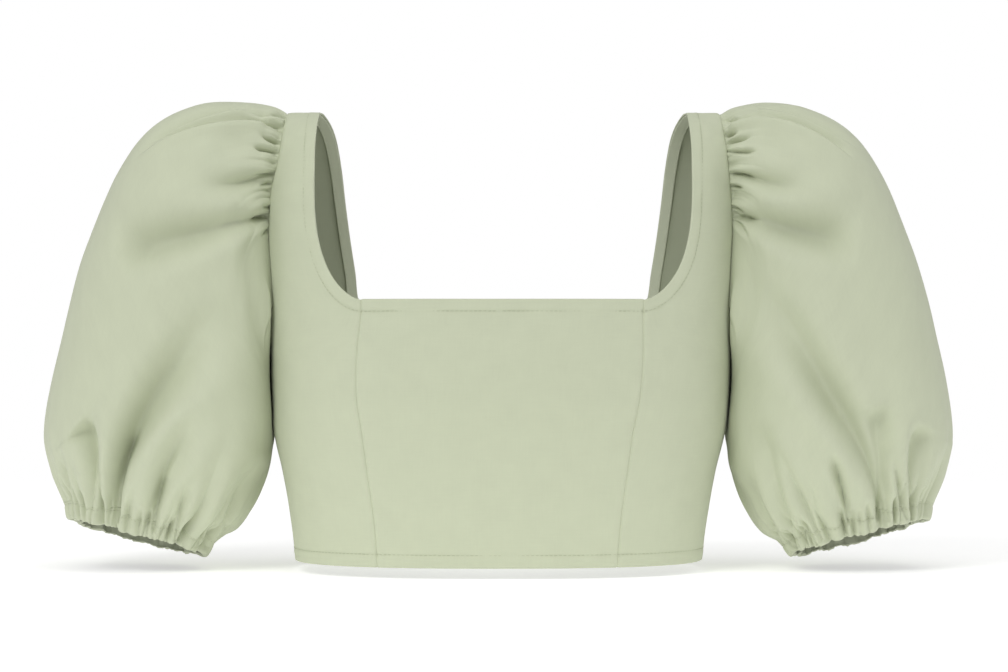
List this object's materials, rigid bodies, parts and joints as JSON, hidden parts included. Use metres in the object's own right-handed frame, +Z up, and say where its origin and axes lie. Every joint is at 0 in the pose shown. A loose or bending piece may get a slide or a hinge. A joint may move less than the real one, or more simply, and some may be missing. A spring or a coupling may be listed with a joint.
{
  "type": "cropped puff-sleeve top",
  "caption": "Cropped top with a low square neck, princess seams and gathered puff sleeves on elastic cuffs, hollow as when worn.",
  "frame": {"origin": "midway between the tops of the two shoulder straps, where the wearer's shoulders carry the garment", "axes": "+Z up, -Y the wearer's front, +X the wearer's left"},
  "size_m": [0.654, 0.229, 0.331],
  "materials": {
    "cloth": "matt woven, pale sage green",
    "facing_cloth": "matt woven, the same cloth's wrong side"
  },
  "bodies": {
    "root": {"front_centre": "cloth", "front_side_left": "cloth", "front_side_right": "cloth", "back": "cloth", "neck_facing": "facing_cloth", "sleeve_left": "cloth", "sleeve_right": "cloth", "cuff_left": "cloth", "cuff_right": "cloth"}
  },
  "joints": []
}
